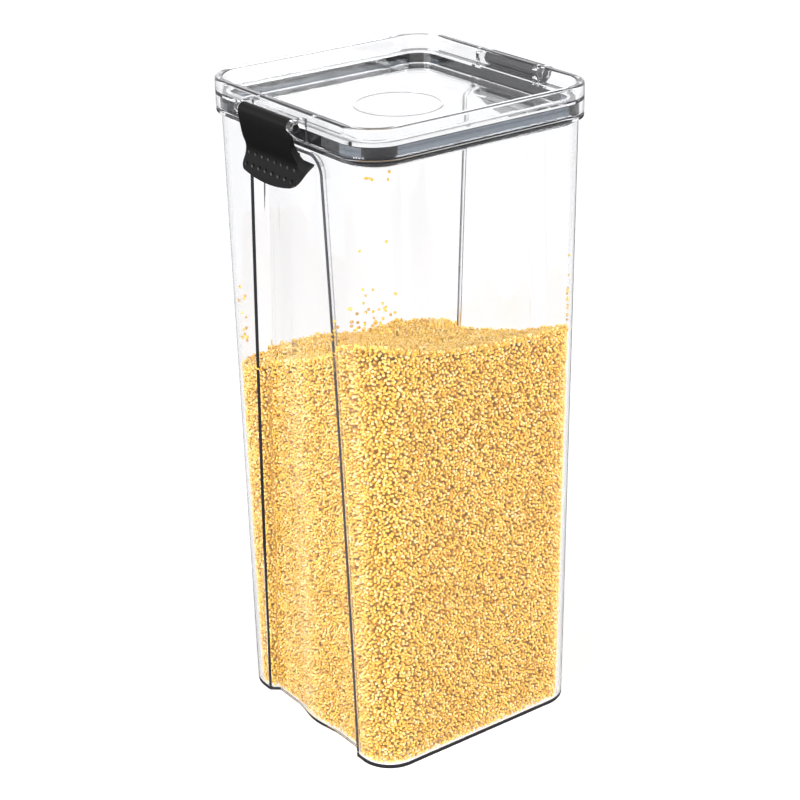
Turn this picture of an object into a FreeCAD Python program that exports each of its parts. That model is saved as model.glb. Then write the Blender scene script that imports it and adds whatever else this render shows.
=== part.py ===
"""Tall clear food canister: a square jar with grip panels, a sunk-top lid with a gasket,
two side latches, and a fill of dry millet.

Frame: origin at the centre of the base, +Z up, X through the two latches, -Y the plain front.
All lengths are in millimetres.
"""
import FreeCAD, Part
import math
import os

from FreeCAD import Vector

# ---- driving dimensions ---------------------------------------------------------------
LID_HALF = 50.0            # half the lid's width across the flats
LID_CORNER = 14.0          # lid corner radius at full width
LID_TOP = 245.5            # height of the closed canister
SKIRT_BOTTOM = 235.6       # lower edge of the lid's skirt
LEDGE_TOP = 240.4          # ledge inside the rim, where a stacked canister rests
LEDGE_UNDER = 239.3        # roof of the gasket channel
PLATE_TOP = 236.0          # sunk plate inside the ledge
PLATE_UNDER = 234.0
PLUG_BOTTOM = 231.3        # lower edge of the plug wall inside the jar's mouth
RIM_INNER_HALF = 47.1      # inside of the upstanding rim
CHANNEL_OUTER_HALF = 48.5  # outer wall of the gasket channel
PLUG_OUTER_HALF = 44.9     # plug wall, outside
POCKET_HALF = 43.4         # pocket wall over the plate
PLUG_INNER_HALF = 43.0     # plug wall under the plate, inside
BEAD_HALF = 45.5           # bead that keeps the gasket on the plug
BEAD_TOP = 231.7
RIM_ROUND = 0.8            # rounding of the rim's top edges

BASE_HALF = 46.4           # half the jar's width on the table
BASE_CORNER = 12.7
NECK_HALF = 48.5           # half the jar's width just under the flange
NECK_CORNER = 13.5
FLANGE_UNDER = 233.1
JAR_TOP = 235.0
FLANGE_ROUND = 0.5
MOUTH_CORNER = 10.8        # inner corner radius at the mouth, concentric with the lid's plug
WALL = 1.7
FLOOR = 1.2
BASE_ROUND = 0.9           # outer rounding where the walls and panels meet the base
INNER_ROUND = 0.7          # inner rounding around the cavity's floor
FOOT_RING_WIDTH = 6.0      # flat ring that the jar stands on
FOOT_RING_HEIGHT = 0.3

PANEL_TOP = 230.2          # top edge of the sunk grip panel on each latch side
PANEL_SHOULDER_Z = 224.0   # where the panel's rounded top corners begin
PANEL_MIDDLE_Z = 118.0
PANEL_BOTTOM_Z = -3.0      # the panel runs out through the base
PANEL_HALF_SHOULDER = 21.2 # half widths of the panel at those heights
PANEL_HALF_MIDDLE = 26.0
PANEL_HALF_BOTTOM = 29.7
PANEL_DEPTH_BASE = 3.2     # depth beside the pad, at the table
PANEL_DEPTH_TOP = 4.0      # the same under the flange
SIDE_SLOPE = 0.85          # how far the panel's sides draw in per millimetre of depth
ROOF_SLOPE = 0.3           # the same for its top
ROOF_WALL = 1.5            # wall over the panel's top
PANEL_CREST_ROUND = 1.0    # rounding where the panel's sides meet the jar's outside
PANEL_FOOT_ROUND = 1.8     # rounding along the foot of those sides, outside
EDGE_REACH = 0.15          # how near a panel edge lies to its own depth
PAD_HALF_WIDTH = 15.0      # raised pad along the middle of the panel
PAD_HEIGHT_BASE = 1.9
PAD_HEIGHT_TOP = 1.0

PIVOT_X = 54.4             # latch pivot, distance from the middle plane
PIVOT_Z = 241.2
BARREL_RADIUS = 2.4
LATCH_TOP_HALF_WIDTH = 14.6  # between the lugs
LATCH_NECK_Z = 235.4       # the latch starts to widen here
LATCH_HALF_WIDTH = 16.2    # at the grip
LATCH_GRIP_Z = 226.5       # full width between these two heights
LATCH_CORNER_Z = 223.2
LATCH_SHOULDER_Y = 13.0    # end of the rounded lower corner
LATCH_SHOULDER_Z = 219.8
LATCH_LOW_Z = 218.4        # lowest point of the bowed lower edge
PIN_RADIUS = 1.4
PIN_END = 16.9             # how far the latch's stub pins reach along Y
PIN_CLEARANCE = 0.08
LUG_INNER = 14.9           # lug plates stand between these distances from the middle
LUG_OUTER = 17.2
LUG_RADIUS = 2.4
CATCH_HALF_WIDTH = 8.0     # catch rib behind the plate
DOT_COUNT = 8
DOT_PITCH = 3.95
DOT_RADIUS = 0.7
DOT_STAND = 0.35           # how far a grip dot stands out
# Latch in side view, as points (distance from the middle plane, height).
# The front starts at the barrel's outermost line, and the back ends at its lowest line.
LATCH_FRONT = [(PIVOT_X + BARREL_RADIUS, PIVOT_Z), (56.6, 238.2), (55.8, 234.4), (54.6, 230.9),
               (53.35, 227.8), (53.4, 225.6), (54.2, 223.4), (55.1, 221.6), (55.9, 219.6),
               (56.1, 218.2)]
LATCH_TOE = [(55.4, 218.0), (53.0, 221.7), (50.3, 224.3), (47.1, 226.5)]
LATCH_TIP = (46.9, 227.1)
LATCH_BACK = [(50.9, 229.4), (52.2, 231.4), (53.5, 234.6), (54.1, 237.2),
              (PIVOT_X, PIVOT_Z - BARREL_RADIUS)]
CATCH = [(53.4, 232.8), (50.0, 230.3), (48.3, 229.5), (47.1, 229.2), (47.1, 226.8),
         (50.5, 227.4), (53.4, 229.0)]
DOT_PLACES = [(53.4, 225.7), (55.0, 221.9)]   # (distance, height) of the two dot rows

GASKET_GAP = 0.1           # room around the gasket in its channel
GASKET_OUTER_HALF = 48.3
GASKET_BOTTOM = 235.3
LIP_BOTTOM = 231.8
LIP_HALF = 46.5

MOTIF_RADIUS = 16.0        # plain raised ring in the middle of the plate
MOTIF_WIDTH = 1.0
MOTIF_HEIGHT = 0.35

FILL_GAP = 0.25            # room between the millet and the jar
FILL_LEVEL = 147.2         # level of the millet's surface in the middle
FILL_SLOPE_X = -0.1        # rise of the surface per millimetre of X
FILL_SLOPE_Y = -0.27       # rise of the surface per millimetre of Y

REACH = 30.0               # how far cutting bodies run past what they cut


# ---- basic shapes -----------------------------------------------------------------------
def rounded_square(half, radius, z):
    """Closed wire of a square with rounded corners at one height."""
    inner = half - radius
    edges = []
    for quarter in range(4):
        turn = quarter * math.pi / 2
        cos_t, sin_t = math.cos(turn), math.sin(turn)

        def place(x, y):
            return Vector(x * cos_t - y * sin_t, x * sin_t + y * cos_t, z)

        diagonal = inner + radius * math.sqrt(0.5)
        edges.append(Part.LineSegment(place(half, -inner), place(half, inner)).toShape())
        arc = Part.Arc(place(half, inner), place(diagonal, diagonal), place(inner, half))
        edges.append(arc.toShape())
    return Part.Wire(edges)


def square_loft(*sections):
    """Solid through rounded squares, each given as (half, radius, z)."""
    return Part.makeLoft([rounded_square(*section) for section in sections], True, True)


def lid_prism(half, z_low, z_high):
    """Straight rounded-square block whose corner stays concentric with the lid's."""
    radius = LID_CORNER - (LID_HALF - half)
    return square_loft((half, radius, z_low), (half, radius, z_high))


def lid_ring(outer_half, inner_half, z_low, z_high):
    return lid_prism(outer_half, z_low, z_high).cut(
        lid_prism(inner_half, z_low - 1.0, z_high + 1.0))


def side_prism(points, y_low, y_high):
    """Block with an outline in the XZ plane, running along Y."""
    corners = [Vector(x, y_low, z) for x, z in points]
    face = Part.Face(Part.makePolygon(corners + corners[:1]))
    return face.extrude(Vector(0, y_high - y_low, 0))


def mirrored_x(shape):
    return shape.mirror(Vector(0, 0, 0), Vector(1, 0, 0))


def edges_at(shape, z):
    """Edges that lie flat at one height."""
    return [edge for edge in shape.Edges
            if abs(edge.BoundBox.ZMin - z) < 1e-4 and abs(edge.BoundBox.ZMax - z) < 1e-4]


def export(name, shape):
    solids = shape.removeSplitter()
    solids.exportStep("parts/" + name + ".step")
    print(name, "solids", len(solids.Solids), "valid", solids.isValid(),
          "volume", round(solids.Volume, 1))


# ---- jar --------------------------------------------------------------------------------
def wall_half(z):
    """Half width of the jar's tapered outside at a height."""
    return BASE_HALF + (NECK_HALF - BASE_HALF) * z / FLANGE_UNDER


def panel_outline(depth, side_grow, roof_grow):
    """Outline of the grip panel on the +X side, at a depth under the wall's outside.

    The outline lies on a plane that follows the wall's taper. It draws in with depth, and
    side_grow and roof_grow widen it where it bounds the wall's inside.
    """
    def place(y, z):
        return Vector(wall_half(z) - depth, y, z)

    inset = SIDE_SLOPE * depth - side_grow
    top = PANEL_TOP - ROOF_SLOPE * depth + roof_grow
    shoulder_half = PANEL_HALF_SHOULDER - inset
    corner = top - PANEL_SHOULDER_Z
    bend = corner * (1 - math.sqrt(0.5))
    flat_half = shoulder_half - corner

    def side(sign):
        return Part.Arc(place(sign * (PANEL_HALF_BOTTOM - inset), PANEL_BOTTOM_Z),
                        place(sign * (PANEL_HALF_MIDDLE - inset), PANEL_MIDDLE_Z),
                        place(sign * shoulder_half, PANEL_SHOULDER_Z)).toShape()

    def shoulder(sign):
        return Part.Arc(place(sign * shoulder_half, PANEL_SHOULDER_Z),
                        place(sign * (shoulder_half - bend), top - bend),
                        place(sign * flat_half, top)).toShape()

    def across(half, z):
        return Part.LineSegment(place(-half, z), place(half, z)).toShape()

    edges = [across(PANEL_HALF_BOTTOM - inset, PANEL_BOTTOM_Z), side(1), shoulder(1),
             across(flat_half, top), shoulder(-1), side(-1)]
    return Part.Wire(Part.__sortEdges__(edges))


def panel_depth(z):
    """Depth of the panel's flat floor under the jar's outside at a height."""
    return PANEL_DEPTH_BASE + (PANEL_DEPTH_TOP - PANEL_DEPTH_BASE) * z / FLANGE_UNDER


def panel_core(extra_depth):
    """Solid whose +X side is the panel's floor: flat edges and a smooth raised pad."""
    def section(z):
        pad = PAD_HEIGHT_BASE + (PAD_HEIGHT_TOP - PAD_HEIGHT_BASE) * z / FLANGE_UNDER
        floor_x = wall_half(z) - panel_depth(z) - extra_depth
        steps = 12
        points = []
        for step in range(steps + 1):
            y = PAD_HALF_WIDTH * (2.0 * step / steps - 1.0)
            rise = pad * 0.5 * (1.0 + math.cos(math.pi * y / PAD_HALF_WIDTH))
            points.append(Vector(floor_x + rise, y, z))
        pad_curve = Part.BSplineCurve()
        pad_curve.interpolate(points, InitialTangent=Vector(0, 1, 0), FinalTangent=Vector(0, 1, 0))
        corners = [Vector(floor_x, PAD_HALF_WIDTH, z), Vector(floor_x, REACH + 10.0, z),
                   Vector(0, REACH + 10.0, z), Vector(0, -REACH - 10.0, z),
                   Vector(floor_x, -REACH - 10.0, z), Vector(floor_x, -PAD_HALF_WIDTH, z)]
        lines = [Part.LineSegment(a, b).toShape() for a, b in zip(corners, corners[1:])]
        return Part.Wire([pad_curve.toShape()] + lines)

    return Part.makeLoft([section(-REACH), section(JAR_TOP + REACH)], True, True)


def panel_block(shrink, roof_wall):
    """Space of the +X grip panel, with sloping sides, grown inwards by a wall thickness."""
    side_grow = shrink * math.hypot(1.0, SIDE_SLOPE)
    roof_grow = roof_wall * math.hypot(1.0, ROOF_SLOPE)
    block = Part.makeLoft([panel_outline(-3.0, side_grow, roof_grow),
                           panel_outline(8.0 + shrink, side_grow, roof_grow)], True, True)
    return block.cut(panel_core(shrink))


def panel_edges(shape, depth_at):
    """Edges of the two grip panels that lie at a depth, given by height, under the jar's outside."""
    found = []
    for edge in shape.Edges:
        middle = edge.valueAt((edge.FirstParameter + edge.LastParameter) / 2)
        at_depth = abs(wall_half(middle.z) - depth_at(middle.z) - abs(middle.x)) < EDGE_REACH
        in_panel = abs(middle.y) < PANEL_HALF_BOTTOM and FLOOR + WALL < middle.z < PANEL_TOP + 1.0
        if at_depth and in_panel and edge.BoundBox.YLength > 0.5:
            found.append(edge)
    return found


def make_jar():
    shell = square_loft((BASE_HALF, BASE_CORNER, 0.0), (NECK_HALF, NECK_CORNER, FLANGE_UNDER))
    panel = panel_block(0.0, 0.0)
    shell = shell.cut(panel).cut(mirrored_x(panel))
    shell = shell.makeFillet(PANEL_FOOT_ROUND, panel_edges(shell, panel_depth))
    shell = shell.makeFillet(PANEL_CREST_ROUND, panel_edges(shell, lambda z: 0.0))
    shell = shell.makeFillet(BASE_ROUND, edges_at(shell, 0.0))
    flange = lid_prism(LID_HALF, FLANGE_UNDER, JAR_TOP)
    flange = flange.makeFillet(FLANGE_ROUND,
                               edges_at(flange, JAR_TOP) + edges_at(flange, FLANGE_UNDER))
    shell = shell.fuse(flange)
    foot = BASE_HALF - FOOT_RING_WIDTH
    foot_recess = square_loft((foot, BASE_CORNER - FOOT_RING_WIDTH, -1.0),
                              (foot, BASE_CORNER - FOOT_RING_WIDTH, FOOT_RING_HEIGHT))
    return shell.cut(jar_cavity(0.0)).cut(foot_recess)


def jar_cavity(gap):
    """Inside of the jar, drawn in by gap on all walls."""
    shrink = WALL + gap
    top = JAR_TOP + 1.0
    cavity = square_loft((wall_half(FLOOR) - shrink, BASE_CORNER - shrink, FLOOR + gap),
                         (wall_half(top) - shrink, MOUTH_CORNER - gap, top))
    cavity = cavity.makeFillet(INNER_ROUND, edges_at(cavity, FLOOR + gap))
    bump = panel_block(shrink, ROOF_WALL + gap)
    cavity = cavity.cut(bump).cut(mirrored_x(bump))
    feet = panel_edges(cavity, lambda z: panel_depth(z) + shrink)
    return cavity.makeFillet(PANEL_FOOT_ROUND + shrink, feet)


# ---- millet -----------------------------------------------------------------------------
def make_fill():
    """Dry millet lying in the jar, with a sloping top."""
    half = 60.0

    def level(x, y):
        return FILL_LEVEL + FILL_SLOPE_X * x + FILL_SLOPE_Y * y

    corners = [Vector(x, y, level(x, y))
               for x, y in [(-half, -half), (half, -half), (half, half), (-half, half)]]
    surface = Part.Face(Part.makePolygon(corners + corners[:1]))
    above = surface.extrude(Vector(0, 0, 150.0))
    return jar_cavity(FILL_GAP).cut(above)


# ---- lid --------------------------------------------------------------------------------
def lug(sign):
    """Lug plate beside the +X latch, on the +Y or -Y side, with a bore for the stub pin."""
    y_low = LUG_INNER if sign > 0 else -LUG_OUTER
    axis = Vector(0, 1, 0)
    centre = Vector(PIVOT_X, y_low, PIVOT_Z)
    thickness = LUG_OUTER - LUG_INNER
    low_tangent = LUG_RADIUS * math.sqrt(0.5)
    root = LID_HALF - 0.7
    web = side_prism([(root, PIVOT_Z + LUG_RADIUS), (PIVOT_X, PIVOT_Z + LUG_RADIUS),
                      (PIVOT_X + low_tangent, PIVOT_Z - low_tangent),
                      (LID_HALF + 2.0, SKIRT_BOTTOM + 0.2), (root, SKIRT_BOTTOM + 0.2)],
                     y_low, y_low + thickness)
    boss = Part.makeCylinder(LUG_RADIUS, thickness, centre, axis)
    bore = Part.makeCylinder(PIN_RADIUS + PIN_CLEARANCE, thickness + 2.0,
                             centre - axis, axis)
    return web.fuse(boss).cut(bore)


def make_lid():
    lid = lid_prism(LID_HALF, SKIRT_BOTTOM, LID_TOP)
    lid = lid.fuse(lid_prism(PLUG_OUTER_HALF, PLUG_BOTTOM, SKIRT_BOTTOM + 1.0))
    lid = lid.cut(lid_ring(CHANNEL_OUTER_HALF, PLUG_OUTER_HALF, SKIRT_BOTTOM - 1.0, LEDGE_UNDER))
    lid = lid.cut(lid_prism(RIM_INNER_HALF, LEDGE_TOP, LID_TOP + 1.0))
    lid = lid.cut(lid_prism(POCKET_HALF, PLATE_TOP, LID_TOP + 1.0))
    lid = lid.cut(lid_prism(PLUG_INNER_HALF, PLUG_BOTTOM - 1.0, PLATE_UNDER))
    lid = lid.fuse(lid_ring(BEAD_HALF, POCKET_HALF, PLUG_BOTTOM, BEAD_TOP))
    lid = lid.removeSplitter()
    lid = lid.makeFillet(RIM_ROUND, edges_at(lid, LID_TOP))
    for sign in (-1, 1):
        one_lug = lug(sign)
        lid = lid.fuse(one_lug).fuse(mirrored_x(one_lug))
    motif = Part.makeCylinder(MOTIF_RADIUS, MOTIF_HEIGHT + 0.5, Vector(0, 0, PLATE_TOP - 0.5))
    motif = motif.cut(Part.makeCylinder(MOTIF_RADIUS - MOTIF_WIDTH, MOTIF_HEIGHT + 2.0,
                                        Vector(0, 0, PLATE_TOP - 1.0)))
    return lid.fuse(motif)


# ---- gasket -----------------------------------------------------------------------------
def make_gasket():
    """Soft ring: a body in the lid's channel and a lip that reaches into the jar's mouth."""
    inner = PLUG_OUTER_HALF + GASKET_GAP
    body = lid_ring(GASKET_OUTER_HALF, inner, GASKET_BOTTOM, LEDGE_UNDER - GASKET_GAP)
    radius = LID_CORNER - LID_HALF
    tip = LIP_HALF - 0.9
    lip = square_loft((tip, radius + tip, LIP_BOTTOM),
                      (LIP_HALF, radius + LIP_HALF, LIP_BOTTOM + 1.8),
                      (LIP_HALF, radius + LIP_HALF, LIP_BOTTOM + 2.6),
                      (LIP_HALF - 0.6, radius + LIP_HALF - 0.6, GASKET_BOTTOM + 0.2))
    lip = lip.cut(lid_prism(inner, LIP_BOTTOM - 1.0, GASKET_BOTTOM + 1.0))
    return body.fuse(lip)


# ---- latches ----------------------------------------------------------------------------
def side_view_curve(points):
    curve = Part.BSplineCurve()
    curve.interpolate([Vector(x, 0, z) for x, z in points])
    return curve.toShape()


def make_latch():
    """+X latch: barrel with stub pins, curved plate, dotted grip, hook and catch rib."""
    along = Vector(0, 1, 0)
    half = LATCH_HALF_WIDTH

    def straight(a, b):
        return Part.LineSegment(Vector(a[0], 0, a[1]), Vector(b[0], 0, b[1])).toShape()

    bottom, top_left, outermost = [
        Vector(PIVOT_X + BARREL_RADIUS * math.cos(turn), 0, PIVOT_Z + BARREL_RADIUS * math.sin(turn))
        for turn in (1.5 * math.pi, 0.75 * math.pi, 0.0)]
    outline = [side_view_curve(LATCH_FRONT), straight(LATCH_FRONT[-1], LATCH_TOE[0]),
               side_view_curve(LATCH_TOE), straight(LATCH_TOE[-1], LATCH_TIP),
               straight(LATCH_TIP, LATCH_BACK[0]), side_view_curve(LATCH_BACK),
               Part.Arc(bottom, top_left, outermost).toShape()]
    plate = Part.Face(Part.Wire(outline)).extrude(along * (2 * half)).translated(along * -half)
    plate = plate.common(front_view_block())

    pins = Part.makeCylinder(PIN_RADIUS, 2 * PIN_END, Vector(PIVOT_X, -PIN_END, PIVOT_Z), along)
    catch = side_prism(CATCH, -CATCH_HALF_WIDTH, CATCH_HALF_WIDTH)
    latch = plate.fuse(pins).fuse(catch)
    dot_sphere = (DOT_RADIUS ** 2 + DOT_STAND ** 2) / (2 * DOT_STAND)
    for x, z in DOT_PLACES:
        for index in range(DOT_COUNT):
            y = DOT_PITCH * (index - (DOT_COUNT - 1) / 2.0)
            centre = Vector(x - (dot_sphere - DOT_STAND), y, z)
            latch = latch.fuse(Part.makeSphere(dot_sphere, centre))
    return latch


def front_view_block():
    """Front view of the latch: narrow between the lugs, wide at the grip, bowed below."""
    top_half, half = LATCH_TOP_HALF_WIDTH, LATCH_HALF_WIDTH
    top_z = PIVOT_Z + BARREL_RADIUS + 1.0

    def place(y, z):
        return Vector(LID_HALF - 10.0, y, z)

    def side(sign):
        corners = [place(sign * top_half, top_z), place(sign * top_half, LATCH_NECK_Z),
                   place(sign * half, LATCH_GRIP_Z), place(sign * half, LATCH_CORNER_Z)]
        lines = [Part.LineSegment(a, b).toShape() for a, b in zip(corners, corners[1:])]
        bend = Part.Arc(corners[-1], place(sign * (half - 0.75), LATCH_CORNER_Z - 2.2),
                        place(sign * LATCH_SHOULDER_Y, LATCH_SHOULDER_Z)).toShape()
        return lines + [bend]

    across = Part.LineSegment(place(-top_half, top_z), place(top_half, top_z)).toShape()
    bow = Part.Arc(place(-LATCH_SHOULDER_Y, LATCH_SHOULDER_Z), place(0, LATCH_LOW_Z),
                   place(LATCH_SHOULDER_Y, LATCH_SHOULDER_Z)).toShape()
    wire = Part.Wire(Part.__sortEdges__([across, bow] + side(1) + side(-1)))
    return Part.Face(wire).extrude(Vector(REACH, 0, 0))


# ---- build ------------------------------------------------------------------------------
os.makedirs("parts", exist_ok=True)
export("jar", make_jar())
export("millet_fill", make_fill())
export("lid", make_lid())
export("gasket", make_gasket())
right_latch = make_latch()
export("right_latch", right_latch)
export("left_latch", mirrored_x(right_latch))
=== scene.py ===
"""A clear square food canister, part filled with millet, in a plain white studio.

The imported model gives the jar, lid, gasket and latches. This script gives them their plastics
and rubber, replaces the plain millet solid by loose grains, and adds floor, light and camera.
Lengths are in metres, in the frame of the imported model: +Z up, origin under the base.
"""
import math

import bpy
import numpy as np
from mathutils import Matrix, Vector, noise


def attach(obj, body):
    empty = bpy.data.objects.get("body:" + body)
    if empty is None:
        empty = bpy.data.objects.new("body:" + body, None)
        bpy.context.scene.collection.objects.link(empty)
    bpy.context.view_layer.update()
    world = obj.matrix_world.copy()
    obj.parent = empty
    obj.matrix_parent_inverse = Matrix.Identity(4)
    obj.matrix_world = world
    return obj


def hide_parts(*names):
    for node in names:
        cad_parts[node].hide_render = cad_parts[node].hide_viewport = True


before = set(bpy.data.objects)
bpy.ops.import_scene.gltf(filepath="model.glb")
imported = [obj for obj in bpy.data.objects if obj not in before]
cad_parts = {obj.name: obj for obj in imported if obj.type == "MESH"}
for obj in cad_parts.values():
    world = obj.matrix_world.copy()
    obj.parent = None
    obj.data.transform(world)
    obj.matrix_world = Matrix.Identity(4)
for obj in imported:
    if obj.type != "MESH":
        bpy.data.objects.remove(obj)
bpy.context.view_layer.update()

MM = 0.001
SEED = 7

# ---- camera and studio ----------------------------------------------------------------------
CAMERA_AZIMUTH = -36.167
CAMERA_ELEVATION = 23.809
CAMERA_ROLL = -1.087
CAMERA_DISTANCE = 0.756
CAMERA_LENS = 91.42
AIM_HEIGHT = 0.1228        # half the canister's height
AIM_SIDE = -0.00135

FLOOR_SIZE = 40.0
FLOOR_DROP = 0.2 * MM      # keeps the floor clear of the base
FLOOR_COLOURS = [(0.2, (0.93, 0.93, 0.93)), (0.8, (0.96, 0.96, 0.96))]
# The floor glows a little, and more where the lamps don't reach it.
FLOOR_GLOW_NEAR, FLOOR_GLOW_FAR = 0.34, 0.9
FLOOR_GLOW_START, FLOOR_GLOW_END = 1.0, 2.6    # distances from the middle of the floor

# Brightness of the surroundings, from straight down to straight up. The dark lower part is
# what the plastic mirrors, because lamps and floor don't show in reflections.
WORLD_COLOURS = [(0.0, (0.03, 0.03, 0.03)), (0.36, (0.06, 0.06, 0.06)),
                 (0.45, (1.0, 1.0, 1.0)), (0.675, (1.0, 1.0, 1.0)),
                 (0.875, (0.25, 0.25, 0.27)), (1.0, (0.15, 0.15, 0.17))]

# Name, place, width and height, and power in watts.
LAMPS = [("key", (-1.6, -0.1, 0.55), (1.0, 0.8), 25.0),
         ("fill", (1.2, -1.5, 0.5), (1.0, 0.8), 36.0),
         ("back", (0.6, 1.5, 1.2), (1.4, 0.8), 1.5)]

# Bounces that light needs to cross lid, gasket channel and jar.
PLASTIC_BOUNCES = 96
OPEN_BOUNCES = 24

# ---- clear plastic --------------------------------------------------------------------------
PLASTIC_TINT = (0.985, 0.988, 0.99)
PLASTIC_IOR = 1.5
PLASTIC_WEAR = 0.02            # roughness where the surface is worn most
ABSORB_COLOUR = (0.05, 0.0, 0.2)
ABSORB_DENSITY = 5.0           # per metre
# The plastic glows faintly: painted light, standing in for light that is trapped in its edges.
GLOW_COLOUR = (0.92, 0.9, 1.0)
GLOW_STRENGTH = 3.0

# ---- gasket ---------------------------------------------------------------------------------
GASKET_COLOURS = [(0.3, (0.003, 0.003, 0.0035)), (0.8, (0.007, 0.007, 0.008))]
# Painted reflection: blue-grey streaks on the gasket's straight runs, between black corners.
PAINTED_REFLECTION_COLOURS = [(0.3, (0.035, 0.041, 0.05)), (0.7, (0.11, 0.125, 0.145))]
PAINTED_REFLECTION_BOTTOM = 235.4 * MM
PAINTED_REFLECTION_TOP_NEAR, PAINTED_REFLECTION_TOP_FAR = 238.9 * MM, 237.5 * MM     # at -Y and at +Y
PAINTED_REFLECTION_WALL = 44.0 * MM         # the outer face of each run lies beyond this
PAINTED_REFLECTION_FRONT_END = 36.4 * MM    # on the runs along X, to both sides of the middle
PAINTED_REFLECTION_SIDE_START, PAINTED_REFLECTION_SIDE_END = 34.0 * MM, 42.7 * MM    # on the runs along Y

# ---- latches --------------------------------------------------------------------------------
LATCH_COLOURS = [(0.3, (0.003, 0.003, 0.003)), (0.8, (0.008, 0.008, 0.008))]
# The dots are paler than the latch in patches: a painted highlight for glints on the domes.
DOT_GLINT_COLOURS = [(0.35, (0.008, 0.008, 0.008)), (0.65, (0.07, 0.07, 0.07))]
DOT_ROWS = [(53.4 * MM, 225.7 * MM), (55.0 * MM, 221.9 * MM)]   # from the middle, height
DOTS_IN_ROW = 8
DOT_PITCH = 3.95 * MM
DOT_SINK = 0.525 * MM          # centre of a dot's ball behind its place
DOT_BALL = 0.9 * MM            # radius of that ball
DOT_OPENING = 48.0             # degrees from the axis to the dot's edge
DOT_RINGS, DOT_STEPS = 4, 12   # facets of a dot, outwards and around

# ---- millet ---------------------------------------------------------------------------------
GRAIN_RADIUS = 0.65 * MM
GRAIN_SPREAD = 0.12        # how much the radii differ
GRAIN_FLATTENING = 0.22    # most that a grain is shorter in one direction
LAYERS = [(0.05 * MM, 1.05 * MM), (0.5 * MM, 1.1 * MM)]   # depth, least distance of centres
TRIES = 2.6                # points drawn per square of that distance
GRAINS_PER_PIECE = 9000

# The body behind the grains, its dark brown painted shade between the grains, as shares of the
# fill's width and height, and its top as a share of the height of the surface.
CORE_WIDTH, CORE_HEIGHT, CORE_TOP = 0.945, 0.97, 0.965
CORE_SHADE_COLOURS = [(0.3, (0.24, 0.11, 0.012)), (0.7, (0.48, 0.26, 0.04))]

# The surface in millimetres: height in the middle, how it falls towards +X and +Y, how it
# bends up away from the middle, and waves on it.
LEVEL_MIDDLE = 143.6
LEVEL_FALL_X, LEVEL_FALL_Y = 0.104, 0.269
LEVEL_BEND_X, LEVEL_BEND_Y = 0.0010, 0.0017
WAVE_HEIGHT, WAVE_LENGTH = 0.9, 14.0
# Mounds and hollows on it: X, Y and height, in millimetres.
MOUNDS = [(-46.0, -30.0, 6.5), (-46.0, 40.0, -6.0), (-10.0, 46.0, 2.0)]
MOUND_WIDTH = 14.0

# Share of the grains and colour, for the fill and for the grains on the wall.
FILL_COLOURS = [(0.0, (0.56, 0.26, 0.018)), (0.2, (0.81, 0.465, 0.05)),
                (0.7, (0.89, 0.57, 0.098)), (1.0, (0.94, 0.72, 0.35))]
LOOSE_COLOURS = [(0.0, (0.38, 0.17, 0.01)), (0.6, (0.62, 0.36, 0.03)),
                 (1.0, (0.78, 0.5, 0.08))]

# ---- jar's inner wall, where loose grains cling ---------------------------------------------
INNER_HALF_LOW = 44.7 * MM     # half width inside, at the base and at the rim
INNER_HALF_HIGH = 46.8 * MM
INNER_CORNER = 11.0 * MM
RIM_HEIGHT = 233.0 * MM
CLING_INSET = GRAIN_RADIUS * 1.1
# Direction around the axis in degrees, its spread, number of grains, lowest, usual rise.
CLINGING = [(226.0, 9.0, 60, 174.0 * MM, 5.0 * MM), (224.5, 6.0, 6, 227.5 * MM, 1.0 * MM),
            (143.0, 2.5, 16, 148.0 * MM, 9.0 * MM), (314.0, 2.5, 14, 158.0 * MM, 9.0 * MM),
            (212.0, 9.0, 14, 166.0 * MM, 5.0 * MM)]


# ---- shader helpers -------------------------------------------------------------------------
def new_material(name):
    material = bpy.data.materials.new(name)
    material.use_nodes = True
    nodes = material.node_tree.nodes
    nodes.clear()
    output = nodes.new("ShaderNodeOutputMaterial")
    shader = nodes.new("ShaderNodeBsdfPrincipled")
    material.node_tree.links.new(shader.outputs["BSDF"], output.inputs["Surface"])
    return material, material.node_tree, shader


def link(tree, source, target):
    tree.links.new(source, target)


def set_inputs(node, values):
    for name, value in values.items():
        node.inputs[name].default_value = value


def add_math(tree, operation, *values):
    """A Math node whose inputs are numbers or other nodes' outputs."""
    node = tree.nodes.new("ShaderNodeMath")
    node.operation = operation
    for socket, value in zip(node.inputs, values):
        if isinstance(value, (int, float)):
            socket.default_value = value
        else:
            link(tree, value, socket)
    return node.outputs["Value"]


def add_between(tree, value, low, high):
    """1 where value lies between low and high, else 0."""
    return add_math(tree, "MULTIPLY", add_math(tree, "GREATER_THAN", value, low),
                    add_math(tree, "LESS_THAN", value, high))


def add_range(tree, source, low, high, from_low=0.0, from_high=1.0):
    """Carries source over from one range to another, and holds it at the ends."""
    node = tree.nodes.new("ShaderNodeMapRange")
    set_inputs(node, {"From Min": from_low, "From Max": from_high, "To Min": low, "To Max": high})
    link(tree, source, node.inputs["Value"])
    return node.outputs["Result"]


def add_noise(tree, scale, detail=2.0, roughness=0.5):
    place = tree.nodes.new("ShaderNodeTexCoord")
    texture = tree.nodes.new("ShaderNodeTexNoise")
    set_inputs(texture, {"Scale": scale, "Detail": detail, "Roughness": roughness})
    link(tree, place.outputs["Object"], texture.inputs["Vector"])
    return texture.outputs["Fac"]


def add_bump(tree, shader, height, strength, distance):
    node = tree.nodes.new("ShaderNodeBump")
    set_inputs(node, {"Strength": strength, "Distance": distance})
    link(tree, height, node.inputs["Height"])
    link(tree, node.outputs["Normal"], shader.inputs["Normal"])


def add_ramp(tree, source, stops):
    """Colours by source, from stops of position and colour."""
    node = tree.nodes.new("ShaderNodeValToRGB")
    ramp = node.color_ramp
    while len(ramp.elements) < len(stops):
        ramp.elements.new(0.5)
    for element, (position, colour) in zip(ramp.elements, stops):
        element.position = position
        element.color = (*colour, 1.0)
    link(tree, source, node.inputs["Fac"])
    return node.outputs["Color"]


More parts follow.
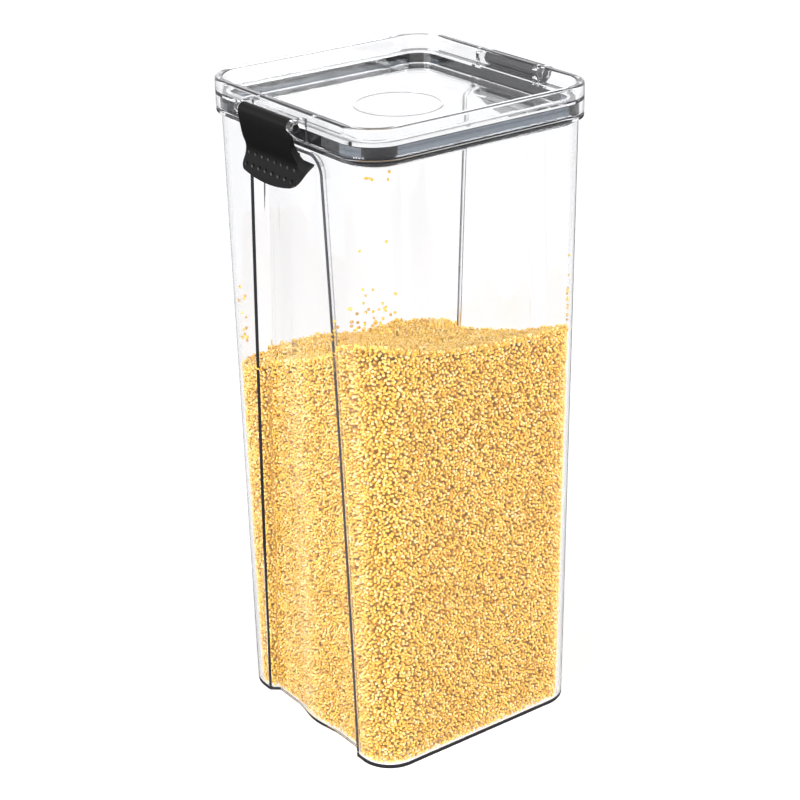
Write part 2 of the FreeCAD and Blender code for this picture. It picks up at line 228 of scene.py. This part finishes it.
def add_streaked_reflection(tree, place, colours):
    """Fine level streaks, in the colours given, for the gasket's painted reflection."""
    stretch = tree.nodes.new("ShaderNodeMapping")
    set_inputs(stretch, {"Scale": (12.0, 12.0, 1500.0)})
    link(tree, place.outputs["Object"], stretch.inputs["Vector"])
    streak = tree.nodes.new("ShaderNodeTexNoise")
    set_inputs(streak, {"Scale": 1.0, "Detail": 2.0})
    link(tree, stretch.outputs["Vector"], streak.inputs["Vector"])
    return add_ramp(tree, streak.outputs["Fac"], colours)


# ---- materials ------------------------------------------------------------------------------
def clear_plastic(name):
    """Clear, bending plastic that lets lamps through to what it holds."""
    material, tree, shader = new_material(name)
    set_inputs(shader, {"Base Color": (*PLASTIC_TINT, 1.0), "Transmission Weight": 1.0,
                        "IOR": PLASTIC_IOR})
    wear = add_noise(tree, 60.0, 4.0)
    link(tree, add_range(tree, wear, 0.0, PLASTIC_WEAR, 0.4, 0.8), shader.inputs["Roughness"])
    output = tree.nodes["Material Output"]

    open_shader = tree.nodes.new("ShaderNodeBsdfTransparent")
    path = tree.nodes.new("ShaderNodeLightPath")
    mix = tree.nodes.new("ShaderNodeMixShader")
    link(tree, path.outputs["Is Shadow Ray"], mix.inputs["Fac"])
    link(tree, shader.outputs["BSDF"], mix.inputs[1])
    link(tree, open_shader.outputs["BSDF"], mix.inputs[2])
    link(tree, mix.outputs["Shader"], output.inputs["Surface"])

    absorb = tree.nodes.new("ShaderNodeVolumeAbsorption")
    set_inputs(absorb, {"Color": (*ABSORB_COLOUR, 1.0), "Density": ABSORB_DENSITY})
    # Painted light: a faint glow inside the plastic, for light trapped in its edges.
    glow = tree.nodes.new("ShaderNodeEmission")
    set_inputs(glow, {"Color": (*GLOW_COLOUR, 1.0), "Strength": GLOW_STRENGTH})
    inside = tree.nodes.new("ShaderNodeAddShader")
    link(tree, absorb.outputs["Volume"], inside.inputs[0])
    link(tree, glow.outputs["Emission"], inside.inputs[1])
    link(tree, inside.outputs["Shader"], output.inputs["Volume"])
    return material


def add_painted_reflection_mask(tree, place):
    """1 where the gasket has its painted reflection, else 0."""
    split = tree.nodes.new("ShaderNodeSeparateXYZ")
    link(tree, place.outputs["Object"], split.inputs["Vector"])
    across = add_math(tree, "ABSOLUTE", split.outputs["X"])
    along = add_math(tree, "ABSOLUTE", split.outputs["Y"])
    front = add_math(tree, "MULTIPLY", add_math(tree, "LESS_THAN", across, PAINTED_REFLECTION_FRONT_END),
                     add_math(tree, "GREATER_THAN", along, PAINTED_REFLECTION_WALL))
    side = add_math(tree, "MULTIPLY", add_between(tree, along, PAINTED_REFLECTION_SIDE_START, PAINTED_REFLECTION_SIDE_END),
                    add_math(tree, "GREATER_THAN", across, PAINTED_REFLECTION_WALL))
    far = add_math(tree, "GREATER_THAN", split.outputs["Y"], 0.0)
    top = add_range(tree, far, PAINTED_REFLECTION_TOP_NEAR, PAINTED_REFLECTION_TOP_FAR)
    body = add_between(tree, split.outputs["Z"], PAINTED_REFLECTION_BOTTOM, top)
    return add_math(tree, "MULTIPLY", add_math(tree, "ADD", front, side), body)


def gasket_rubber():
    """Black rubber whose straight sides carry a painted blue-grey reflection between the corners.
    """
    material, tree, shader = new_material("gasket_rubber")
    place = tree.nodes.new("ShaderNodeTexCoord")
    grain = add_noise(tree, 900.0, 3.0)
    mix = tree.nodes.new("ShaderNodeMix")
    mix.data_type = "RGBA"
    # Painted reflection: blue-grey streaks mixed into the rubber where the mask is 1.
    link(tree, add_painted_reflection_mask(tree, place), mix.inputs["Factor"])
    link(tree, add_ramp(tree, grain, GASKET_COLOURS), mix.inputs["A"])
    link(tree, add_streaked_reflection(tree, place, PAINTED_REFLECTION_COLOURS), mix.inputs["B"])
    link(tree, mix.outputs["Result"], shader.inputs["Base Color"])
    link(tree, add_range(tree, grain, 0.3, 0.5), shader.inputs["Roughness"])
    set_inputs(shader, {"Specular IOR Level": 0.05})
    add_bump(tree, shader, grain, 0.2, 0.05 * MM)
    return material


def latch_plastic():
    material, tree, shader = new_material("latch_plastic")
    grain = add_noise(tree, 2600.0, 3.0, 0.6)
    link(tree, add_ramp(tree, grain, LATCH_COLOURS), shader.inputs["Base Color"])
    link(tree, add_range(tree, grain, 0.36, 0.5), shader.inputs["Roughness"])
    set_inputs(shader, {"Specular IOR Level": 0.15})
    add_bump(tree, shader, grain, 0.35, 0.08 * MM)
    return material


def dot_plastic():
    material, tree, shader = new_material("dot_plastic")
    # Painted highlight: paler patches that stand in for glints on the domes.
    painted_glint = add_noise(tree, 500.0, 1.0)
    link(tree, add_ramp(tree, painted_glint, DOT_GLINT_COLOURS), shader.inputs["Base Color"])
    set_inputs(shader, {"Roughness": 0.3})
    return material


def millet_grain(name, colours):
    """Each grain takes one colour of the ramp, by chance."""
    material, tree, shader = new_material(name)
    geometry = tree.nodes.new("ShaderNodeNewGeometry")
    chance = geometry.outputs["Random Per Island"]
    link(tree, add_ramp(tree, chance, colours), shader.inputs["Base Color"])
    set_inputs(shader, {"Roughness": 0.42})
    add_bump(tree, shader, add_noise(tree, 2500.0, 2.0), 0.15, 0.1 * MM)
    return material


def core_painted_shade():
    material, tree, shader = new_material("millet_core")
    # Painted shade: the dark brown stands in for shaded grains deeper in the fill.
    grain = add_noise(tree, 700.0, 3.0)
    link(tree, add_ramp(tree, grain, CORE_SHADE_COLOURS), shader.inputs["Base Color"])
    set_inputs(shader, {"Roughness": 0.8})
    return material


def floor_white():
    material, tree, shader = new_material("floor_white")
    shade = add_noise(tree, 3.0, 2.0)
    link(tree, add_ramp(tree, shade, FLOOR_COLOURS), shader.inputs["Base Color"])
    set_inputs(shader, {"Roughness": 0.9, "Emission Color": (1.0, 1.0, 1.0, 1.0)})
    place = tree.nodes.new("ShaderNodeTexCoord")
    away = tree.nodes.new("ShaderNodeVectorMath")
    away.operation = "LENGTH"
    link(tree, place.outputs["Object"], away.inputs[0])
    glow = add_range(tree, away.outputs["Value"], FLOOR_GLOW_NEAR, FLOOR_GLOW_FAR,
                     FLOOR_GLOW_START, FLOOR_GLOW_END)
    link(tree, glow, shader.inputs["Emission Strength"])
    return material


def dress_nodes():
    """Gives the carried-over nodes their materials."""
    latch = latch_plastic()
    finishes = {"jar": clear_plastic("jar_clear"), "lid": clear_plastic("lid_clear"),
                "gasket": gasket_rubber(), "left_latch": latch, "right_latch": latch}
    for name, material in finishes.items():
        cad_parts[name].data.materials[0] = material


# ---- visual pieces --------------------------------------------------------------------------
def add_piece(name, mesh, material, body):
    piece = bpy.data.objects.new(name, mesh)
    bpy.context.scene.collection.objects.link(piece)
    mesh.materials.append(material)
    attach(piece, body)
    return piece


def add_dot(points, faces, side, distance, y, height):
    """Adds a low dome, part of a ball, that faces away from the canister's middle."""
    edge = math.radians(DOT_OPENING)
    first = len(points)
    points.append((side * (distance - DOT_SINK + DOT_BALL), y, height))
    for ring in range(1, DOT_RINGS + 1):
        lean = edge * ring / DOT_RINGS
        x = side * (distance - DOT_SINK + DOT_BALL * math.cos(lean))
        for step in range(DOT_STEPS):
            spin = side * 2 * math.pi * step / DOT_STEPS
            points.append((x, y + DOT_BALL * math.sin(lean) * math.cos(spin),
                           height + DOT_BALL * math.sin(lean) * math.sin(spin)))
    for step in range(DOT_STEPS):
        after = (step + 1) % DOT_STEPS
        faces.append((first, first + 1 + step, first + 1 + after))
        for ring in range(DOT_RINGS - 1):
            low = first + 1 + ring * DOT_STEPS
            high = low + DOT_STEPS
            faces.append((low + step, high + step, high + after, low + after))
    last = first + 1 + (DOT_RINGS - 1) * DOT_STEPS
    faces.append(tuple(last + step for step in reversed(range(DOT_STEPS))))


def grip_dots(name, side):
    """Rows of low domes on a latch's grip, on the side given by the sign of X."""
    points, faces = [], []
    for distance, height in DOT_ROWS:
        for index in range(DOTS_IN_ROW):
            y = DOT_PITCH * (index - (DOTS_IN_ROW - 1) / 2)
            add_dot(points, faces, side, distance, y, height)
    mesh = bpy.data.meshes.new(name)
    mesh.from_pydata(points, [], faces)
    # All but the flat back of each dot is smooth.
    mesh.polygons.foreach_set("use_smooth", [len(face) < DOT_STEPS for face in faces])
    return mesh


def make_dots():
    material = dot_plastic()
    for body, side in (("left_latch", -1), ("right_latch", 1)):
        name = body + "_dots"
        add_piece(name, grip_dots(name, side), material, body)


# ---- millet ---------------------------------------------------------------------------------
def fill_level(x, y):
    """Height of the millet's surface: a bent slope with mounds, hollows and soft waves."""
    x_mm, y_mm = x / MM, y / MM
    level = (LEVEL_MIDDLE - LEVEL_FALL_X * x_mm - LEVEL_FALL_Y * y_mm
             + LEVEL_BEND_X * x_mm ** 2 + LEVEL_BEND_Y * y_mm ** 2)
    for mound_x, mound_y, height in MOUNDS:
        away = ((x_mm - mound_x) ** 2 + (y_mm - mound_y) ** 2) / (2 * MOUND_WIDTH ** 2)
        level += height * math.exp(-away)
    wave = WAVE_HEIGHT * noise.noise(Vector((x_mm / WAVE_LENGTH, y_mm / WAVE_LENGTH, 3.0)))
    return (level + wave) * MM


class FillSurface:
    """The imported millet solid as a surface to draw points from, with its top reshaped."""

    def __init__(self, node):
        mesh = node.data
        mesh.calc_loop_triangles()
        self.points = np.array([v.co for v in mesh.vertices])
        self.triangles = np.array([t.vertices[:] for t in mesh.loop_triangles])
        a, b, c = (self.points[self.triangles[:, i]] for i in range(3))
        normal = np.cross(b - a, c - a)
        self.areas = np.linalg.norm(normal, axis=1) / 2
        self.normals = normal / np.maximum(2 * self.areas, 1e-15)[:, None]
        self.bottom = self.points[:, 2].min()
        top = self.normals[:, 2] > 0.5
        corners = self.points[np.unique(self.triangles[top])]
        grid = np.c_[corners[:, :2], np.ones(len(corners))]
        self.plane = np.linalg.lstsq(grid, corners[:, 2], rcond=None)[0]

    def draw(self, count, random_source):
        """Points spread evenly over the surface by chance, and the normals there."""
        pick = random_source.choice(len(self.areas), count, p=self.areas / self.areas.sum())
        u, v = random_source.random((2, count))
        flip = u + v > 1
        u[flip], v[flip] = 1 - u[flip], 1 - v[flip]
        a, b, c = (self.points[self.triangles[pick, i]] for i in range(3))
        return a + u[:, None] * (b - a) + v[:, None] * (c - a), self.normals[pick]

    def reshape(self, points):
        """Stretches heights so that the solid's flat top takes the millet's real surface."""
        out = points.copy()
        flat = points[:, 0] * self.plane[0] + points[:, 1] * self.plane[1] + self.plane[2]
        level = np.array([fill_level(x, y) for x, y in points[:, :2]])
        out[:, 2] = self.bottom + (points[:, 2] - self.bottom) * (level - self.bottom) / (
            flat - self.bottom)
        return out


def is_crowded(point, cell, cells, limit):
    """True when a kept point is nearer than limit, a squared distance."""
    i, j, k = cell
    for di in (-1, 0, 1):
        for dj in (-1, 0, 1):
            for dk in (-1, 0, 1):
                for other in cells.get((i + di, j + dj, k + dk), ()):
                    d = point - other
                    if d[0] * d[0] + d[1] * d[1] + d[2] * d[2] < limit:
                        return True
    return False


def spread(points, distance):
    """Indices of points taken in order so that no two are nearer than distance."""
    cells = {}
    kept = []
    keys = np.floor(points / distance).astype(int)
    limit = distance ** 2
    for index, key in enumerate(keys):
        cell = tuple(key)
        if not is_crowded(points[index], cell, cells, limit):
            kept.append(index)
            cells.setdefault(cell, []).append(points[index])
    return np.array(kept)


def icosahedron():
    golden = (1 + math.sqrt(5)) / 2
    corners = []
    for a in (-1, 1):
        for b in (-golden, golden):
            corners += [(0, a, b), (a, b, 0), (b, 0, a)]
    corners = np.array(corners, float)
    corners /= np.linalg.norm(corners[0])
    edge = np.linalg.norm(corners[:, None] - corners[None], axis=2)
    side = edge[edge > 0].min() * 1.01
    faces = []
    for i in range(12):
        for j in range(i + 1, 12):
            for k in range(j + 1, 12):
                if edge[i, j] < side and edge[j, k] < side and edge[i, k] < side:
                    turn = np.dot(np.cross(corners[j] - corners[i], corners[k] - corners[i]),
                                  corners[i])
                    faces.append((i, j, k) if turn > 0 else (i, k, j))
    return corners, np.array(faces)


def random_turns(count, random_source):
    """Rotation matrices, evenly spread over all directions."""
    turn = random_source.normal(size=(count, 4))
    w, x, y, z = (turn / np.linalg.norm(turn, axis=1)[:, None]).T
    rotation = np.array([[1 - 2 * (y * y + z * z), 2 * (x * y - z * w), 2 * (x * z + y * w)],
                         [2 * (x * y + z * w), 1 - 2 * (x * x + z * z), 2 * (y * z - x * w)],
                         [2 * (x * z - y * w), 2 * (y * z + x * w), 1 - 2 * (x * x + y * y)]])
    return rotation.transpose(2, 0, 1)


def grains_mesh(name, centres, random_source):
    """One mesh of many grains, each a small rounded, slightly flattened body."""
    corners, faces = icosahedron()
    count = len(centres)
    size = GRAIN_RADIUS * (1 + GRAIN_SPREAD * random_source.uniform(-1, 1, count))
    shape = 1 - random_source.uniform(0, GRAIN_FLATTENING, (count, 3))
    rotation = random_turns(count, random_source)
    local = corners[None] * (size[:, None] * shape)[:, None, :]
    points = np.einsum("nij,nkj->nki", rotation, local) + centres[:, None, :]
    points = points.reshape(-1, 3)
    triangles = faces[None] + len(corners) * np.arange(count)[:, None, None]
    triangles = triangles.reshape(-1, 3)
    mesh = bpy.data.meshes.new(name)
    mesh.vertices.add(len(points))
    mesh.vertices.foreach_set("co", points.ravel())
    mesh.loops.add(triangles.size)
    mesh.loops.foreach_set("vertex_index", triangles.ravel())
    mesh.polygons.add(len(triangles))
    mesh.polygons.foreach_set("loop_start", np.arange(0, triangles.size, 3))
    mesh.polygons.foreach_set("use_smooth", np.ones(len(triangles), bool))
    mesh.update(calc_edges=True)
    return mesh


def wall_point(turn, height, inset):
    """Point on the jar's inner wall in one direction around the axis, drawn in by inset."""
    share = height / RIM_HEIGHT
    half = INNER_HALF_LOW + (INNER_HALF_HIGH - INNER_HALF_LOW) * share - inset
    radius = INNER_CORNER - inset
    centre = half - radius
    toward_x, toward_y = math.cos(turn), math.sin(turn)
    reach = half / max(abs(toward_x), abs(toward_y))
    if reach * min(abs(toward_x), abs(toward_y)) > centre:
        along = centre * (abs(toward_x) + abs(toward_y))
        reach = along + math.sqrt(along ** 2 - 2 * centre ** 2 + radius ** 2)
    return reach * toward_x, reach * toward_y, height


def clinging_grains(random_source):
    """Grains that stick to the jar's wall above the millet."""
    places = []
    for direction, width, count, lowest, rise in CLINGING:
        for _ in range(count):
            turn = math.radians(random_source.normal(direction, width / 2))
            height = lowest + random_source.exponential(rise)
            places.append(wall_point(turn, height, CLING_INSET))
    return np.array(places)


def packed_grains(surface, random_source):
    """Centres of the grains that lie against the jar and on top, layer by layer, shuffled."""
    centres = []
    for depth, distance in LAYERS:
        count = int(surface.areas.sum() / distance ** 2 * TRIES)
        points, normals = surface.draw(count, random_source)
        points = surface.reshape(points) - normals * (depth + GRAIN_RADIUS)
        centres.append(points[spread(points, distance)])
    centres = np.concatenate(centres)
    random_source.shuffle(centres)
    return centres


def core_mesh(surface):
    """The reshaped fill, made smaller so that it shows only as a dark ground between grains."""
    points = surface.reshape(surface.points)
    middle = np.array([0, 0, points[:, 2].max() / 2])
    points = middle + (points - middle) * np.array([CORE_WIDTH, CORE_WIDTH, CORE_HEIGHT])
    level = np.array([fill_level(x, y) for x, y in points[:, :2]])
    points[:, 2] = np.minimum(points[:, 2], level * CORE_TOP)
    mesh = bpy.data.meshes.new("millet_core")
    mesh.from_pydata(points.tolist(), [], surface.triangles.tolist())
    return mesh


def make_millet():
    random_source = np.random.default_rng(SEED)
    surface = FillSurface(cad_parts["millet_fill"])
    grain_material = millet_grain("millet_grain", FILL_COLOURS)
    loose_material = millet_grain("millet_loose", LOOSE_COLOURS)

    centres = packed_grains(surface, random_source)
    pieces = math.ceil(len(centres) / GRAINS_PER_PIECE)
    for index, part in enumerate(np.array_split(centres, pieces)):
        mesh = grains_mesh("millet_grains", part, random_source)
        piece = add_piece(f"millet_grains_{index + 1}", mesh, grain_material, "jar")
        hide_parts("millet_fill")

    loose = clinging_grains(random_source)
    mesh = grains_mesh("millet_loose", loose, random_source)
    add_piece("millet_loose", mesh, loose_material, "jar")

    piece = add_piece("millet_core", core_mesh(surface), core_painted_shade(), "jar")
    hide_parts("millet_fill")


# ---- studio ---------------------------------------------------------------------------------
def make_floor():
    mesh = bpy.data.meshes.new("floor")
    half = FLOOR_SIZE / 2
    mesh.from_pydata([(-half, -half, 0), (half, -half, 0), (half, half, 0), (-half, half, 0)],
                     [], [(0, 1, 2, 3)])
    mesh.materials.append(floor_white())
    floor = bpy.data.objects.new("floor", mesh)
    floor.location.z = -FLOOR_DROP
    floor.visible_glossy = False
    bpy.context.scene.collection.objects.link(floor)


def make_world():
    world = bpy.data.worlds.new("studio")
    bpy.context.scene.world = world
    world.use_nodes = True
    tree = world.node_tree
    background = tree.nodes["Background"]
    place = tree.nodes.new("ShaderNodeTexCoord")
    split = tree.nodes.new("ShaderNodeSeparateXYZ")
    link(tree, place.outputs["Generated"], split.inputs["Vector"])
    height = add_range(tree, split.outputs["Z"], 0.0, 1.0, -1.0, 1.0)
    link(tree, add_ramp(tree, height, WORLD_COLOURS), background.inputs["Color"])
    set_inputs(background, {"Strength": 1.0})


def make_lamps():
    for name, place, size, power in LAMPS:
        light = bpy.data.lights.new(name, "AREA")
        light.shape = "RECTANGLE"
        light.size, light.size_y = size
        light.energy = power
        lamp = bpy.data.objects.new(name, light)
        lamp.location = place
        aim = Vector((0, 0, AIM_HEIGHT)) - lamp.location
        lamp.rotation_euler = aim.to_track_quat("-Z", "Y").to_euler()
        lamp.visible_glossy = False
        bpy.context.scene.collection.objects.link(lamp)


def make_camera():
    azimuth, elevation = math.radians(CAMERA_AZIMUTH), math.radians(CAMERA_ELEVATION)
    back = Vector((math.sin(azimuth) * math.cos(elevation),
                   -math.cos(azimuth) * math.cos(elevation), math.sin(elevation)))
    level = (-back).cross(Vector((0, 0, 1))).normalized()
    upright = level.cross(-back)
    roll = math.radians(CAMERA_ROLL)
    right = level * math.cos(roll) + upright * math.sin(roll)
    up = upright * math.cos(roll) - level * math.sin(roll)
    data = bpy.data.cameras.new("camera")
    data.lens = CAMERA_LENS
    data.clip_start, data.clip_end = 0.02, 20.0
    camera = bpy.data.objects.new("camera", data)
    place = back * CAMERA_DISTANCE + right * AIM_SIDE + Vector((0, 0, AIM_HEIGHT))
    turn = Matrix((right, up, back)).transposed().to_4x4()
    camera.matrix_world = Matrix.Translation(place) @ turn
    bpy.context.scene.collection.objects.link(camera)
    bpy.context.scene.camera = camera


def set_rendering():
    cycles = bpy.context.scene.cycles
    cycles.max_bounces = PLASTIC_BOUNCES
    cycles.transmission_bounces = PLASTIC_BOUNCES
    cycles.transparent_max_bounces = OPEN_BOUNCES
    bpy.context.scene.view_settings.view_transform = "Standard"


make_camera()
make_floor()
make_world()
make_lamps()
set_rendering()
dress_nodes()
make_dots()
make_millet()
